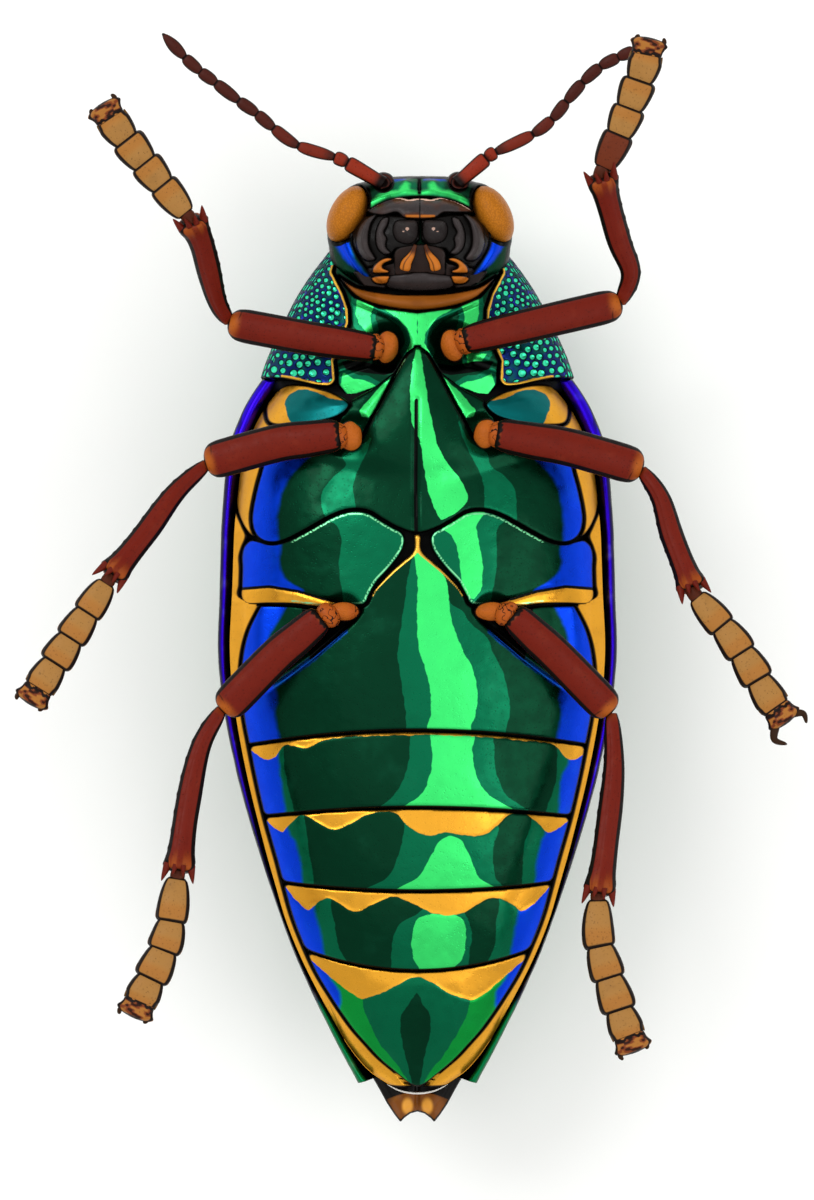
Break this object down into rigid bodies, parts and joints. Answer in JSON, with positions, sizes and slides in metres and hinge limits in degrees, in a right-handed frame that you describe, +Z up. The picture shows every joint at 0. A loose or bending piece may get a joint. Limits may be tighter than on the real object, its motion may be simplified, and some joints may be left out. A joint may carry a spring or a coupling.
{
  "type": "jewel beetle",
  "caption": "Life-size jewel beetle lying on its back, with green shell plates, golden bands, red-brown spread legs and beaded feelers.",
  "frame": {"origin": "on the floor below the middle of the box round the whole beetle; the body's middle plane is X = 0", "axes": "+Y from the tail to the head, +Z up from the back it lies on to its underside, +X to the beetle's own left side"},
  "size_m": [0.0327, 0.0461, 0.0158],
  "materials": {
    "emerald_shell": "metallic green shell, polished",
    "pitted_shell": "dark blue shell with round green pits",
    "golden_shell": "golden yellow shell, satin",
    "joint_horn": "orange-brown horn, satin",
    "leg_horn": "dark red-brown horn, satin",
    "foot_horn": "tan horn, dull",
    "feeler_horn": "red-brown horn, satin",
    "mouth_horn": "near-black horn, satin",
    "eye_amber": "tan-orange compound eye, satin"
  },
  "bodies": {
    "root": {"abdomen_rim_left": "golden_shell", "abdomen_rim_right": "golden_shell", "abdomen_segment_1": "emerald_shell", "abdomen_segment_2": "emerald_shell", "abdomen_segment_3": "emerald_shell", "abdomen_segment_4": "emerald_shell", "abdomen_segment_5": "emerald_shell", "antenna_left": "feeler_horn", "antenna_right": "feeler_horn", "eye_left": "eye_amber", "eye_right": "eye_amber", "fore_coxa_left": "joint_horn", "fore_coxa_right": "joint_horn", "fore_femur_left": "leg_horn", "fore_femur_right": "leg_horn", "fore_tarsus_left": "foot_horn", "fore_tarsus_right": "foot_horn", "fore_tibia_left": "leg_horn", "fore_tibia_right": "leg_horn", "gula": "joint_horn", "head": "emerald_shell", "hind_coxal_plate_left": "emerald_shell", "hind_coxal_plate_right": "emerald_shell", "hind_femur_left": "leg_horn", "hind_femur_right": "leg_horn", "hind_tarsus_left": "foot_horn", "hind_tarsus_right": "foot_horn", "hind_tibia_left": "leg_horn", "hind_tibia_right": "leg_horn", "hind_trochanter_left": "joint_horn", "hind_trochanter_right": "joint_horn", "labium": "feeler_horn", "labrum": "feeler_horn", "mandible_left": "mouth_horn", "mandible_right": "mouth_horn", "maxilla_left": "joint_horn", "maxilla_right": "joint_horn", "mesepimeron_left": "emerald_shell", "mesepimeron_right": "emerald_shell", "mesosternum_left": "emerald_shell", "mesosternum_right": "emerald_shell", "metasternum": "emerald_shell", "metepisternum_left": "golden_shell", "metepisternum_right": "golden_shell", "middle_coxa_left": "joint_horn", "middle_coxa_right": "joint_horn", "middle_femur_left": "leg_horn", "middle_femur_right": "leg_horn", "middle_tarsus_left": "foot_horn", "middle_tarsus_right": "foot_horn", "middle_tibia_left": "leg_horn", "middle_tibia_right": "leg_horn", "pronotum": "pitted_shell", "prosternum": "emerald_shell", "pygidium": "joint_horn", "wing_case_left": "emerald_shell", "wing_case_right": "emerald_shell"}
  },
  "joints": []
}
